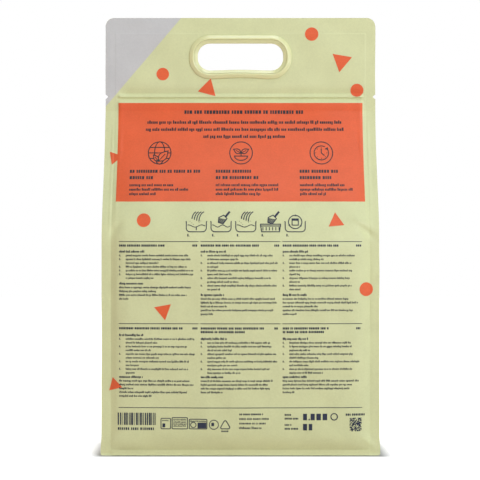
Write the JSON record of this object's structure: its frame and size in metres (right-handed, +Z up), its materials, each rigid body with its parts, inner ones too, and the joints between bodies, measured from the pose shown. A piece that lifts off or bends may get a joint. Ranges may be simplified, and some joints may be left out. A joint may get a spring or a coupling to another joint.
{
  "type": "cat litter bag",
  "caption": "Sealed flat-bottom side-gusset pouch of cat litter, with a flat header, a press-to-close strip and a moulded oval grip.",
  "frame": {"origin": "middle of the base, on the surface that the bag stands on", "axes": "+Z up towards the header, +X to the right as the printed back panel is looked at, -Y out of that back panel, +Y out of the front panel"},
  "size_m": [0.2516, 0.1104, 0.4],
  "materials": {
    "laminate_film": "matt printed laminate film, pale green",
    "grip_plastic": "satin moulded polyethylene, pale green"
  },
  "bodies": {
    "root": {"pouch": "laminate_film", "handle_back_half": "grip_plastic", "handle_front_half": "grip_plastic"}
  },
  "joints": []
}
